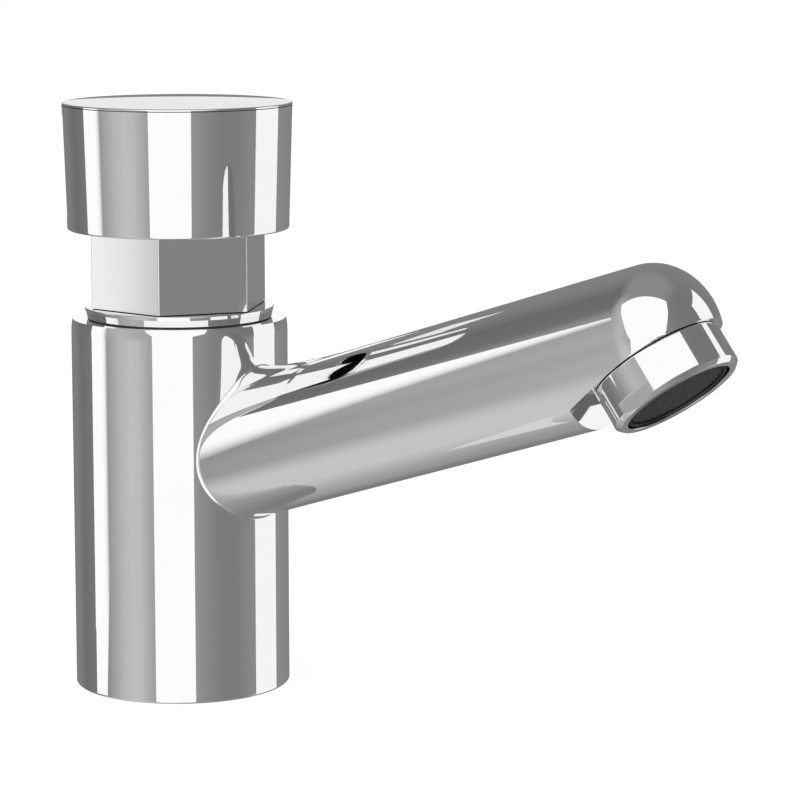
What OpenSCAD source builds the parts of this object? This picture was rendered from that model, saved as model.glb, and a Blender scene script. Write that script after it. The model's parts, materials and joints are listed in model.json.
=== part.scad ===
// Push timed tap: a chromed pillar body with a rising spout, a hexagonal bonnet and a push button.
// Origin at the centre of the base, +Z up, spout along -Y, millimetres.

/* [Body] */
// Outer diameter of the pillar body
body_d = 45; // [42:0.5:54]
// Height of the pillar body above the deck
body_h = 77.5; // [74:0.1:84]
// Rounding of the body's top edge
body_edge = 0.4; // [0.2:0.1:1]
// Height of the stretch below that edge that buffing has drawn in
buffed_h = 2.6; // [1:0.1:4]
// How far the body is drawn in at its top
buffed_in = 0.3; // [0.1:0.05:0.6]
// Rounding of the body's bottom edge
base_edge = 0.5; // [0.2:0.1:1]
// Bore that takes the valve seat and the cage
main_bore_d = 32; // [31:0.5:33]
// Bore of the bonnet thread at the top of the body
bonnet_bore_d = 35; // [34.5:0.5:36]
// Bore of the chamber below the valve seat
valve_chamber_d = 26; // [25:0.5:28]
// Height of the chamber below the valve seat
valve_chamber_h = 16; // [15:0.5:18]
// Thickness of the web between the inlet and the valve chamber
web_t = 4; // [3:0.5:5]
// Diameter of the port through that web
web_port_d = 14; // [13:0.5:15]

/* [Inlet] */
// Plain bore of the half inch pipe thread
inlet_bore_d = 18.63; // [17:0.01:20]
// Depth of that bore
inlet_depth = 10; // [9:0.5:11]
// Diameter of the pocket above it, for the strainer and the flow regulator
pocket_d = 17.6; // [16:0.1:18]
// Thickness of the flow regulator disc
regulator_t = 1.2; // [1:0.1:1.6]
// Orifice of the flow regulator
regulator_orifice_d = 5; // [3:0.5:7]
// Diameter of the small holes round that orifice
regulator_hole_d = 1.2; // [0.8:0.1:1.6]
// Distance of those holes from the axis
regulator_hole_at = 5.4; // [4.8:0.1:5.8]
// Distance of the inlet strainer's floor above the inlet bore
strainer_recess = 0.6; // [0.3:0.1:1]
// Height of the inlet strainer
strainer_h = 2.2; // [2:0.1:2.6]
// Wall of the inlet strainer
strainer_wall = 0.6; // [0.4:0.1:0.8]
// Diameter of the strainer's basket below its rim
strainer_neck_d = 13; // [12:0.1:14]
// Diameter of the strainer's basket at its floor
strainer_tip_d = 9; // [8:0.1:10]
// Width of the slots in the strainer's floor
strainer_slot_w = 0.5; // [0.3:0.1:0.7]
// Length of those slots
strainer_slot_len = 1.8; // [1:0.1:2]
// Inner diameter of the base gasket
base_gasket_d = 31; // [28:0.5:33]
// Width of the base gasket
base_gasket_w = 4; // [3:0.5:4.5]
// Thickness of the base gasket
base_gasket_t = 2; // [1.5:0.1:3]

/* [Spout] */
// Outer diameter of the spout
spout_d = 27.84; // [25.5:0.02:30]
// Rise of the spout above level, in degrees
spout_rise = 17.8; // [12:0.2:22]
// Height at which the spout's axis meets the body's axis
spout_z = 45.1; // [44:0.1:47]
// Length along the spout's axis, from the body's axis to the centre of the domed end
spout_len = 126.5; // [110:0.5:150]
// Length of the domed end
dome_len = 11.5; // [9:0.1:14]
// Water way at the root of the spout
spout_bore_d = 20; // [16:0.5:21]
// Water way near the outlet
spout_neck_d = 14; // [12:0.5:15]
// Length of the narrow water way, back from the dome's centre
spout_neck_len = 26; // [22:0.5:34]
// Diameter of the spigot brazed into the body wall
spout_spigot_d = 23.9; // [22:0.1:24]
// Leg of the braze fillet under the spout's root
braze_leg = 0.4; // [0.3:0.1:0.8]
// Leg of that fillet up the body, above the spout
braze_rise = 2.4; // [1:0.1:3]
// Length of that fillet along the top of the spout
braze_run = 26; // [6:0.5:30]
// Fullness of that fillet, from 0 for hollow to 0.5 for flat
braze_fill = 0.18; // [0.1:0.01:0.4]

/* [Outlet] */
// Tilt of the outlet's axis out from straight down, in degrees
outlet_tilt = 38; // [32:0.5:42]
// Distance back from the dome's centre at which the outlet's axis meets the spout's axis
outlet_back = 3; // [1:0.1:5]
// Drop from the spout's axis to the outlet's seat face
seat_drop = 4.2; // [3.6:0.1:5]
// Level distance back from where the two axes meet to the upright step behind the outlet
step_back = 9.6; // [9.2:0.1:11]
// Bore of the outlet thread
outlet_bore_d = 22; // [20.5:0.1:22.5]
// Depth of the outlet bore above the seat face
outlet_bore_depth = 6.6; // [6:0.1:7.5]

/* [Aerator] */
// Outer diameter of the aerator ring
ring_d = 26.1; // [25:0.1:27]
// Length of the ring below the spout
ring_len = 8.4; // [7.5:0.1:10]
// Shadow gap between the ring and the spout
ring_gap = 0.1; // [0.1:0.1:0.6]
// Chamfer of the ring's lower edge
ring_chamfer = 0.9; // [0.4:0.1:1]
// Opening at the ring's lower end
ring_mouth_d = 21.6; // [21:0.1:22]
// Depth of that opening
ring_mouth_depth = 5; // [4:0.1:6]
// Water way through the ring's thread
ring_bore_d = 17.6; // [16:0.2:18.4]
// Distance across the two spanner flats
ring_flats = 24.8; // [24.2:0.1:25.4]
// Height of the spanner flats
ring_flat_h = 3; // [2:0.1:4]
// Corner radius of the spanner flats
ring_flat_corner = 1.2; // [0.6:0.1:1.5]
// Thickness of the aerator gasket
outlet_gasket_t = 1.2; // [0.8:0.1:1.5]
// Depth of the insert's face inside the ring
insert_recess = 0.5; // [0.3:0.1:1]
// Rim width of the insert
insert_rim = 0.8; // [0.6:0.1:1.2]
// Thickness of the insert's drilled plate
insert_plate_t = 0.8; // [0.6:0.1:1.2]
// Diameter of the holes in that plate
insert_hole_d = 1.8; // [1.2:0.1:2]
// Distance between the rings of holes
insert_hole_pitch = 3.2; // [2.8:0.1:3.4]
// Thickness of the mesh screen
mesh_t = 0.5; // [0.3:0.1:0.8]
// Pitch of the mesh screen
mesh_pitch = 1.5; // [1.2:0.1:2.5]
// Wire width of the mesh screen
mesh_wire = 0.5; // [0.3:0.1:0.7]
// Width of the legs under the mesh screen
mesh_leg_w = 0.8; // [0.6:0.1:1]

/* [Bonnet] */
// Distance across the flats of the hexagon
hex_af = 32.7; // [31:0.1:34]
// Height of the hexagon
hex_h = 17.1; // [16.5:0.1:20]
// Chamfer on the hexagon's corners
hex_chamfer = 0.8; // [0.4:0.1:1.2]
// Diameter of the flange's upper edge
flange_top_d = 39.4; // [38:0.1:41]
// Diameter of the flange's lower edge
flange_low_d = 38.5; // [37.5:0.1:40]
// Height of the flange
flange_h = 2.2; // [1.6:0.1:3]
// Length of the bonnet's threaded spigot
bonnet_spigot_len = 13.2; // [12:0.1:14]
// Bore of the timing cylinder
cylinder_d = 23; // [22:0.1:24]
// Thickness of the bonnet's roof
roof_t = 10; // [9:0.1:11]
// Thickness of the bonnet gasket
bonnet_gasket_t = 0.2; // [0.2:0.1:0.8]
// Distance of the gasket's rim inside the flange's lower edge
bonnet_gasket_inset = 0.2; // [0.1:0.1:0.4]
// Gland bore in the roof, for the seal and its retainer
gland_d = 15; // [14:0.1:16]
// Depth of that gland bore
gland_depth = 7; // [6.5:0.1:7.5]
// Diameter of the guide bush below its flange
bush_d = 11; // [10.4:0.1:12]
// Thickness of the guide bush's flange
bush_flange_t = 2; // [1.5:0.1:2.5]
// Thickness of the stem seal
stem_seal_t = 2.5; // [2:0.1:3]

/* [Button] */
// Diameter of the button at its upper edge
button_top_d = 47.6; // [46.5:0.1:50]
// Diameter of the button at its lower edge
button_low_d = 46; // [45.5:0.1:48]
// Height of the button from its lower edge to its top edge
button_h = 26.2; // [25:0.1:30]
// Crown of the button's top
button_crown = 0.5; // [0:0.1:1.5]
// Rounding of the button's top edge
button_edge = 0.3; // [0.2:0.1:1.2]
// Rounding of the button's lower edge
button_lip = 0.4; // [0.2:0.1:0.8]
// Gap between the button and the flange at rest
button_lift = 16.1; // [15:0.1:18]
// Inner diameter of the button's skirt
button_bore_d = 42; // [40:0.1:42.8]
// Thickness of the button's top
button_roof_t = 3.4; // [2.5:0.1:4]
// How far the button goes down
button_travel = 8; // [6:0.1:8.5]

/* [Mechanism] */
// Diameter of the stem
stem_d = 8; // [7:0.1:8.4]
// Diameter of the stem's lower tail
stem_tail_d = 6; // [5:0.1:6.4]
// Diameter of the stem's collar above the piston
stem_collar_d = 10.6; // [10:0.1:11]
// Height of the stem's collar
stem_collar_h = 1.6; // [1.2:0.1:1.8]
// Height of the piston
piston_h = 5; // [4.5:0.1:6]
// Head room above the piston at rest
piston_headroom = 2.2; // [2:0.1:2.6]
// Width of the lip seal's groove in the piston
lip_groove_h = 3; // [2.4:0.1:3.4]
// Depth of that groove
lip_groove_depth = 2.2; // [1.8:0.1:2.6]
// Thickness of the clip that holds the piston
clip_t = 1.2; // [0.8:0.1:1.5]
// Outer diameter of that clip
clip_d = 10.8; // [10:0.1:11]
// Depth of the clip's groove in the stem
clip_groove = 0.6; // [0.4:0.1:0.8]
// Opening at the side of the clip
clip_opening = 6; // [5:0.1:6.5]
// Wire diameter of the return spring
spring_wire = 1.2; // [1:0.1:1.3]
// Mean diameter of the return spring
spring_d = 18.8; // [18:0.1:19.4]
// Turns of the return spring
spring_turns = 4.5; // [3:0.5:5]
// Diameter of the timing needle
needle_d = 1.4; // [1:0.1:1.8]
// Distance of the timing needle from the axis
needle_at = 6.4; // [6.2:0.1:6.8]
// Thickness of the cage's bulkhead
bulkhead_t = 2.5; // [2:0.1:3.5]
// Wall of the cage
cage_wall = 2; // [1.5:0.1:2.5]
// Width of the cage's windows
cage_window_w = 16; // [12:0.5:18]
// Thickness of the valve seat's flange
seat_t = 4; // [3.5:0.1:4.5]
// Port of the valve seat
seat_port_d = 15; // [14:0.1:16]
// Width of the valve seat's lip
seat_lip_w = 1.5; // [1:0.1:2]
// Height of the valve seat's lip
seat_lip_h = 1; // [0.6:0.1:1.5]
// Section of the valve seat's O-ring
seat_ring_section = 1.5; // [1.2:0.1:1.8]
// Diameter of the valve washer
washer_d = 19.6; // [19:0.1:20.4]
// Thickness of the valve washer
washer_t = 2.5; // [2:0.1:3]
// Height of the washer above the valve disc's rim
washer_proud = 0.6; // [0.4:0.1:1]
// Thickness of the valve disc's floor
disc_t = 2.4; // [2:0.1:3]
// Rim width of the valve disc
disc_rim = 0.8; // [0.6:0.1:1]
// Distance across the flats of the stem nut
nut_af = 10; // [9:0.1:10.5]
// Height of the stem nut
nut_h = 3; // [2.5:0.1:3.5]
// Thickness of the hub's plate under the button's top
hub_plate_t = 4; // [3.5:0.1:5]
// Diameter of the hub's boss
hub_boss_d = 18; // [16:0.1:20]
// Length of the hub's boss below its plate
hub_boss_h = 7; // [6:0.1:8]
// Length of the stem inside the hub's plate
stem_bite = 1; // [0.5:0.1:2]
// Thickness of the ring that holds the hub in the button
hub_ring_t = 1.2; // [1:0.1:1.6]
// Depth of that ring's groove in the button
hub_ring_bite = 0.6; // [0.4:0.1:0.8]
// Width of that ring below the hub's plate
hub_ring_w = 1.4; // [1:0.1:2]
// Opening at the side of that ring
hub_ring_opening = 6; // [4:0.1:8]
// Diameter of the grub screw in the hub
grub_d = 4; // [3:0.1:4.4]

/* [Clearances] */
// Running clearance on radius of sliding pieces
run_gap = 0.05; // [0.02:0.01:0.1]
// Clearance on radius of threaded and pressed pieces
fit_gap = 0.05; // [0.02:0.01:0.1]
// Clearance on radius of loose pieces
free_gap = 0.3; // [0.2:0.05:0.5]
// Gap left between the valve washer and the seat's lip at rest
valve_gap = 0.1; // [0.05:0.05:0.3]

/* [Hidden] */
$fn = 96;
eps = 0.02;

body_r = body_d / 2;
main_bore_r = main_bore_d / 2;
bonnet_bore_r = bonnet_bore_d / 2;
spout_r = spout_d / 2;

// Heights of the fixed stack, from the deck up
z_strainer = inlet_depth + strainer_recess;
z_regulator = z_strainer + strainer_h;
z_web = z_regulator + regulator_t;
z_chamber = z_web + web_t;
z_seat = z_chamber + valve_chamber_h;
z_seat_top = z_seat + seat_t;
z_lip = z_seat - seat_lip_h;
z_flange = body_h + bonnet_gasket_t;
z_hex = z_flange + flange_h;
z_bonnet_top = z_hex + hex_h;
z_roof = z_bonnet_top - roof_t;
z_gland = z_bonnet_top - gland_depth;
z_spigot = z_flange - bonnet_spigot_len;
z_bulkhead = z_spigot - bulkhead_t;
spigot_room = 0.5;

// Heights of the moving stack at rest
z_washer_top = z_lip - valve_gap;
z_washer = z_washer_top - washer_t;
z_disc = z_washer - disc_t;
z_nut = z_disc - nut_h;
tail_stub = 0.5;
z_piston_top = z_roof - piston_headroom;
z_piston = z_piston_top - piston_h;
z_button = z_hex + button_lift;
z_button_top = z_button + button_h;
z_button_ceiling = z_button_top + button_crown - button_roof_t;
z_hub_plate = z_button_ceiling - hub_plate_t;
z_hub_boss = z_hub_plate - hub_boss_h;
z_hub_ring = z_hub_plate - hub_ring_t;
z_stem_top = z_hub_plate + stem_bite;

// Outlet: the axis meets the spout's axis at outlet_at, and points down and out
outlet_at = spout_len - outlet_back;
ring_top = seat_drop + ring_gap;
ring_end = ring_top + ring_len;
bore_end = seat_drop - outlet_bore_depth;
ring_neck_end = bore_end + outlet_gasket_t;
mouth_floor = ring_end - ring_mouth_depth;
insert_face = ring_end - insert_recess;
insert_r = ring_mouth_d / 2 - free_gap;
mesh_r = insert_r - insert_rim;

hex_r = hex_af / sqrt(3);
lip_groove_r = cylinder_d / 2 - free_gap - lip_groove_depth;
clip_groove_r = stem_d / 2 - clip_groove;
pocket_fit_r = pocket_d / 2 - free_gap;

chrome = [0.80, 0.81, 0.83];
brass = [0.79, 0.64, 0.33];
steel = [0.72, 0.73, 0.75];
rubber = [0.10, 0.10, 0.11];
acetal = [0.90, 0.90, 0.87];
grey_plastic = [0.28, 0.28, 0.29];
black_plastic = [0.06, 0.06, 0.065];

// A round piece from outer radius r, bore b, between heights z0 and z1
module tube(r, b, z0, z1) {
    translate([0, 0, z0]) difference() {
        cylinder(r = r, h = z1 - z0);
        translate([0, 0, -1]) cylinder(r = b, h = z1 - z0 + 2);
    }
}

// A round bar of radius r between heights z0 and z1
module bar(r, z0, z1) {
    translate([0, 0, z0]) cylinder(r = r, h = z1 - z0);
}

// Puts a child that is drawn along +Z onto the spout's axis, z then being the distance along it
module along_spout() {
    translate([0, 0, spout_z]) rotate([90 - spout_rise, 0, 0]) children();
}

// Puts a child that is drawn along +Z onto the outlet's axis, z then being the distance downstream
module along_outlet() {
    along_spout() translate([0, 0, outlet_at]) rotate([90 + spout_rise - outlet_tilt, 0, 0]) children();
}

// Half outline of a disc with rounded outer edges, for turning
module rounded_side(r, z0, z1, low_edge, top_edge) {
    translate([0, z0 + low_edge]) square([r, z1 - z0 - low_edge - top_edge]);
    translate([0, z0]) square([r - low_edge, z1 - z0 - top_edge]);
    translate([0, z0 + low_edge]) square([r - top_edge, z1 - z0 - low_edge]);
    translate([r - low_edge, z0 + low_edge]) circle(r = low_edge);
    translate([r - top_edge, z1 - top_edge]) circle(r = top_edge);
}

// Half outline of the body's outside, drawn in at its top along a shallow arc
module body_outline() {
    arc_r = (buffed_h * buffed_h + buffed_in * buffed_in) / (2 * buffed_in);
    intersection() {
        rounded_side(body_r, 0, body_h, base_edge, body_edge);
        union() {
            square([body_r, body_h - buffed_h]);
            square([main_bore_r, body_h]);
            translate([body_r - arc_r, body_h - buffed_h]) circle(r = arc_r);
        }
    }
}

module body_shell() {
    color(chrome) difference() {
        rotate_extrude() body_outline();
        bar(inlet_bore_d / 2, -1, inlet_depth);
        bar(pocket_d / 2, inlet_depth - eps, z_web);
        bar(web_port_d / 2, z_web - 1, z_chamber + 1);
        bar(valve_chamber_d / 2, z_chamber, z_seat + 1);
        bar(main_bore_r, z_seat, body_h + 1);
        bar(bonnet_bore_r, z_spigot - spigot_room, body_h + 1);
        tube(base_gasket_d / 2 + base_gasket_w + fit_gap, base_gasket_d / 2 - fit_gap, -1, base_gasket_t);
        along_spout() bar(spout_spigot_d / 2 + fit_gap, main_bore_r / 2, 2 * body_r);
    }
}

// Quarter outline of the domed end, for turning about the spout's axis
module dome_outline() {
    steps = 24;
    polygon(concat([[0, 0]], [for (i = [0 : steps]) [
        spout_r * cos(90 * i / steps), dome_len * sin(90 * i / steps)
    ]]));
}

// A large block beyond the distance z, for cutting away what lies past a plane
module block_beyond(z) {
    size = 4 * spout_d;
    translate([-size / 2, -size / 2, z]) cube(size);
}

// The spout's outside, with its domed end and the step cut for the outlet
module spout_outside() {
    difference() {
        along_spout() {
            bar(spout_r, main_bore_r / 2, spout_len);
            translate([0, 0, spout_len]) rotate_extrude() dome_outline();
        }
        intersection() {
            along_outlet() block_beyond(seat_drop);
            along_spout() translate([0, 0, outlet_at]) rotate([spout_rise, 0, 0]) block_beyond(-step_back);
        }
    }
}

module spout_waterway() {
    neck_at = spout_len - spout_neck_len;
    cone_len = (spout_bore_d - spout_neck_d) / 2;
    along_spout() {
        bar(spout_bore_d / 2, 0, neck_at - cone_len);
        translate([0, 0, neck_at - cone_len])
            cylinder(r1 = spout_bore_d / 2, r2 = spout_neck_d / 2, h = cone_len);
        bar(spout_neck_d / 2, neck_at - eps, outlet_at);
        translate([0, 0, outlet_at]) sphere(r = spout_neck_d / 2);
    }
    along_outlet() bar(outlet_bore_d / 2, bore_end, seat_drop + 1);
    along_outlet() bar(spout_neck_d / 2, 0, seat_drop);
}

module spout() {
    color(chrome) difference() {
        union() {
            difference() {
                spout_outside();
                bar(body_r + fit_gap, -1, 3 * body_h);
            }
            difference() {
                along_spout() bar(spout_spigot_d / 2, main_bore_r / 2, 2 * body_r);
                bar(bonnet_bore_r + free_gap, -1, 3 * body_h);
            }
        }
        spout_waterway();
    }
}

// Distance along the spout's axis at which its line at radius r and angle a
// meets the upright cylinder of radius q
function meet(r, q, a) =
    (r * sin(a) * sin(spout_rise) + sqrt(q * q - pow(r * cos(a), 2))) / cos(spout_rise);

// A point at radius r and angle a round the spout's axis, at distance s along it
function spout_point(r, s, a) = [
    r * cos(a),
    -s * cos(spout_rise) + r * sin(a) * sin(spout_rise),
    spout_z + s * sin(spout_rise) + r * sin(a) * cos(spout_rise)
];

// A point at t, from 0 to 1, on the curve from p to q that is drawn towards c
function curve_point(p, c, q, t) = pow(1 - t, 2) * p + 2 * t * (1 - t) * c + t * t * q;

// A concave bead in the corner between the spout and the body, drawn out along the spout's top
module spout_braze_fillet() {
    turns = 96;
    arc = 6;
    rise_fade = 14;
    run_fade = 24;
    r = spout_r + fit_gap;
    q = body_r + fit_gap;
    bead = [for (i = [0 : turns - 1]) let (
        a = 360 * i / turns,
        leg = braze_leg + (braze_rise - braze_leg) * pow((1 + sin(a)) / 2, rise_fade),
        run = leg + (braze_run - braze_rise) * pow(max(0, sin(a)), run_fade),
        corner = spout_point(r, meet(r, q, a), a),
        on_spout = spout_point(r, meet(r, q, a) + run, a),
        on_body = spout_point(r + leg, meet(r + leg, q, a), a),
        drawn_to = corner + braze_fill * (on_spout - corner) + braze_fill * (on_body - corner)
    ) concat([corner], [for (k = [0 : arc]) curve_point(on_spout, drawn_to, on_body, k / arc)])];
    n = arc + 2;
    faces = [for (i = [0 : turns - 1], k = [0 : n - 1], h = [0, 1]) let (
        p = i * n + k,
        p2 = i * n + (k + 1) % n,
        s = ((i + 1) % turns) * n + k,
        s2 = ((i + 1) % turns) * n + (k + 1) % n
    ) h == 0 ? [p, s, p2] : [p2, s, s2]];
    color(chrome) polyhedron(points = [for (ring = bead, p = ring) p], faces = faces);
}

module base_gasket() {
    color(rubber) tube(base_gasket_d / 2 + base_gasket_w, base_gasket_d / 2, 0, base_gasket_t);
}

module flow_regulator() {
    rim_holes = 8;
    color(acetal) difference() {
        bar(pocket_fit_r, z_regulator, z_web);
        bar(regulator_orifice_d / 2, 0, z_web + 1);
        for (i = [0 : rim_holes - 1]) rotate(360 * i / rim_holes)
            translate([regulator_hole_at, 0, 0]) bar(regulator_hole_d / 2, 0, z_web + 1);
    }
}

module inlet_strainer() {
    floor_top = z_strainer + strainer_wall;
    rim = z_regulator - strainer_wall;
    neck = strainer_neck_d / 2;
    tip = strainer_tip_d / 2;
    inner_tip = tip - strainer_wall;
    slots = 12;
    color(steel) difference() {
        rotate_extrude() polygon([
            [0, z_strainer], [tip, z_strainer], [neck, rim], [pocket_fit_r, rim],
            [pocket_fit_r, z_regulator], [neck - strainer_wall, z_regulator], [inner_tip, floor_top],
            [0, floor_top]
        ]);
        for (i = [0 : slots - 1]) rotate(360 * i / slots)
            translate([inner_tip - strainer_slot_len, -strainer_slot_w / 2, z_strainer - 1])
            cube([strainer_slot_len, strainer_slot_w, strainer_wall + 2]);
    }
}

module valve_seat() {
    port_r = seat_port_d / 2;
    groove = seat_ring_section + 2 * fit_gap;
    z_groove = z_seat + (seat_t - groove) / 2;
    color(brass) difference() {
        union() {
            bar(main_bore_r - fit_gap, z_seat, z_seat_top);
            bar(port_r + seat_lip_w, z_lip, z_seat + eps);
        }
        bar(port_r, z_lip - 1, z_seat_top + 1);
        tube(main_bore_r + 1, main_bore_r - groove - fit_gap, z_groove, z_groove + groove);
    }
}

module seat_o_ring() {
    section_r = seat_ring_section / 2;
    color(rubber) translate([0, 0, z_seat + seat_t / 2]) rotate_extrude()
        translate([main_bore_r - fit_gap * 2 - section_r, 0]) circle(r = section_r, $fn = 32);
}

module cage() {
    outer = main_bore_r - free_gap - fit_gap;
    window_h = z_bulkhead - z_seat_top - 2 * bulkhead_t;
    color(acetal) difference() {
        bar(outer, z_seat_top, z_spigot);
        bar(outer - cage_wall, z_seat_top - 1, z_bulkhead);
        bar(stem_d / 2 + free_gap, z_bulkhead - 1, z_spigot + 1);
        translate([0, needle_at, 0]) bar(needle_d / 2 + fit_gap, z_bulkhead - 1, z_spigot + 1);
        for (i = [0 : 3]) rotate(90 * i) translate([0, -cage_window_w / 2, z_seat_top + bulkhead_t])
            cube([2 * outer, cage_window_w, window_h]);
    }
}

module bonnet() {
    thread_r = bonnet_bore_r - fit_gap;
    color(chrome) difference() {
        union() {
            bar(thread_r, z_spigot, z_flange + eps);
            translate([0, 0, z_flange]) cylinder(d1 = flange_low_d, d2 = flange_top_d, h = flange_h);
            intersection() {
                translate([0, 0, z_hex]) rotate(90) cylinder(r = hex_r, h = hex_h, $fn = 6);
                rotate_extrude() polygon([
                    [0, z_hex], [hex_r, z_hex], [hex_r, z_bonnet_top - hex_chamfer],
                    [hex_r - 2 * hex_chamfer, z_bonnet_top], [0, z_bonnet_top]
                ]);
            }
        }
        bar(cylinder_d / 2, z_spigot - 1, z_roof);
        bar(bush_d / 2, z_roof - 1, z_bonnet_top);
        bar(gland_d / 2, z_gland, z_bonnet_top + 1);
    }
}

module bonnet_gasket() {
    color(rubber)
        tube(flange_low_d / 2 - bonnet_gasket_inset, bonnet_bore_r + fit_gap, body_h, z_flange);
}

module guide_bush() {
    color(brass) difference() {
        union() {
            bar(bush_d / 2 - fit_gap, z_roof, z_gland + eps);
            bar(gland_d / 2 - fit_gap, z_gland, z_gland + bush_flange_t);
        }
        bar(stem_d / 2 + run_gap, z_roof - 1, z_bonnet_top);
    }
}

module stem_seal() {
    z0 = z_gland + bush_flange_t;
    color(rubber) tube(gland_d / 2 - fit_gap, stem_d / 2 + run_gap, z0, z0 + stem_seal_t);
}

module seal_retainer() {
    z0 = z_gland + bush_flange_t + stem_seal_t;
    color(brass) tube(gland_d / 2 - fit_gap, stem_d / 2 + free_gap, z0, z_bonnet_top);
}

module timing_needle() {
    color(steel) translate([0, needle_at, 0])
        bar(needle_d / 2, z_bulkhead, z_piston_top + piston_headroom / 2);
}

// A helical wire from the bulkhead to the piston, with its ends a whole wire inside both faces
module return_spring() {
    sides = 6;
    per_turn = 16;
    wire_r = spring_wire / 2;
    low = z_spigot + wire_r;
    rise = z_piston - z_spigot - spring_wire;
    rings = per_turn * spring_turns;
    points = [for (i = [0 : rings], k = [0 : sides - 1]) let (
        a = 360 * i / per_turn,
        b = 360 * k / sides,
        r = spring_d / 2 + wire_r * cos(b)
    ) [r * cos(a), r * sin(a), low + rise * i / rings + wire_r * sin(b)]];
    last = rings * sides;
    walls = [for (i = [0 : rings - 1], k = [0 : sides - 1], h = [0, 1]) let (
        p = i * sides + k,
        p2 = i * sides + (k + 1) % sides
    ) h == 0 ? [p, p2, p + sides] : [p2, p2 + sides, p + sides]];
    caps = [for (k = [1 : sides - 2], h = [0, 1])
        h == 0 ? [0, k + 1, k] : [last, last + k, last + k + 1]];
    echo(spring_gap = rise / spring_turns - spring_wire);
    color(steel) polyhedron(points = points, faces = concat(walls, caps));
}

// The cut for a flat on the ring's side, seen along the flat's normal, with rounded upper corners
module flat_outline() {
    chord = sqrt(ring_d * ring_d - ring_flats * ring_flats) / 2;
    overcut = ring_flat_corner / 3;
    half = chord + overcut;
    inner = half - ring_flat_corner;
    top = ring_end - ring_flat_h;
    translate([-half, top + ring_flat_corner]) square([2 * half, ring_flat_h + 1]);
    translate([-inner, top]) square([2 * inner, ring_flat_h + 1]);
    for (side = [-1, 1]) translate([side * inner, top + ring_flat_corner])
        circle(r = ring_flat_corner);
}

module aerator_ring() {
    r = ring_d / 2;
    neck_r = outlet_bore_d / 2 - fit_gap;
    color(chrome) along_outlet() difference() {
        rotate_extrude() polygon([
            [ring_bore_d / 2, ring_neck_end], [neck_r, ring_neck_end], [neck_r, ring_top], [r, ring_top],
            [r, ring_end - ring_chamfer], [r - ring_chamfer, ring_end], [ring_mouth_d / 2, ring_end],
            [ring_mouth_d / 2, mouth_floor], [ring_bore_d / 2, mouth_floor]
        ]);
        for (side = [0, 180]) rotate([0, 0, side]) translate([ring_flats / 2, 0, 0])
            rotate([90, 0, 90]) linear_extrude(height = r) flat_outline();
    }
}

module aerator_gasket() {
    color(rubber) along_outlet()
        tube(outlet_bore_d / 2 - fit_gap, ring_bore_d / 2, bore_end, ring_neck_end);
}

module aerator_insert() {
    rows = 2;
    per_row = 6;
    color(black_plastic) along_outlet() difference() {
        bar(insert_r, mouth_floor, insert_face);
        bar(mesh_r + fit_gap, mouth_floor + insert_plate_t, insert_face + 1);
        for (row = [1 : rows], i = [1 : per_row * row]) rotate(360 * i / (per_row * row))
            translate([row * insert_hole_pitch, 0, 0])
            bar(insert_hole_d / 2, mouth_floor - 1, insert_face);
    }
}

// A flat screen of crossed wires in a rim, resting on a few legs above the drilled plate
module aerator_mesh() {
    cells = floor(mesh_r / mesh_pitch);
    hole = mesh_pitch - mesh_wire;
    legs = 4;
    top = insert_face - mesh_t - insert_recess / 2;
    color(grey_plastic) along_outlet() {
        translate([0, 0, top]) linear_extrude(height = mesh_t) difference() {
            circle(r = mesh_r);
            for (i = [-cells : cells], k = [-cells : cells])
                if (norm([i, k]) * mesh_pitch < mesh_r - mesh_pitch)
                    translate([i * mesh_pitch, k * mesh_pitch]) square(hole, center = true);
        }
        for (i = [0 : legs - 1]) rotate(360 * (i + 1 / 2) / legs)
            translate([mesh_r - 2 * mesh_leg_w, -mesh_leg_w / 2, mouth_floor + insert_plate_t])
            cube([mesh_leg_w, mesh_leg_w, top - mouth_floor - insert_plate_t + eps]);
    }
}

// Half outline of the button's outside: a widening skirt, a rounded rim and a crowned top
module button_outline() {
    top_r = button_top_d / 2;
    low_r = button_low_d / 2;
    steps = 12;
    flat_r = top_r - button_edge;
    crown_r = (flat_r * flat_r + button_crown * button_crown) / (2 * max(button_crown, eps));
    rim = [for (i = [0 : steps / 2]) let (a = 90 * i / (steps / 2))
        [flat_r + button_edge * cos(a), z_button_top - button_edge + button_edge * sin(a)]];
    crown = [for (i = [1 : steps]) let (x = flat_r * (1 - i / steps))
        [x, z_button_top + button_crown - crown_r + sqrt(crown_r * crown_r - x * x)]];
    lip = [for (i = [0 : steps / 2]) let (a = 90 * i / (steps / 2))
        [low_r - button_lip + button_lip * sin(a), z_button + button_lip - button_lip * cos(a)]];
    polygon(concat([[0, z_button]], lip, rim, crown));
}

module button_cap() {
    color(chrome) difference() {
        rotate_extrude() button_outline();
        bar(button_bore_d / 2, z_button - 1, z_button_ceiling);
        bar(button_bore_d / 2 + hub_ring_bite, z_hub_ring, z_hub_plate);
    }
}

module button_hub() {
    color(black_plastic) difference() {
        union() {
            bar(button_bore_d / 2 - fit_gap, z_hub_plate, z_button_ceiling);
            bar(hub_boss_d / 2, z_hub_boss, z_hub_plate + eps);
        }
        bar(stem_d / 2 + fit_gap, z_hub_boss - 1, z_stem_top + fit_gap);
        translate([0, 0, z_hub_boss + hub_boss_h / 2]) rotate([0, 90, 0])
            cylinder(r = grub_d / 2 + fit_gap, h = hub_boss_d);
    }
}

// A snap ring, open at one side, in the groove inside the button
module hub_ring() {
    outer = button_bore_d / 2 + hub_ring_bite - fit_gap;
    color(steel) difference() {
        tube(outer, button_bore_d / 2 - hub_ring_w, z_hub_ring, z_hub_plate);
        translate([0, -hub_ring_opening / 2, z_hub_ring - 1])
            cube([button_bore_d, hub_ring_opening, hub_ring_t + 2]);
    }
}

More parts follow.
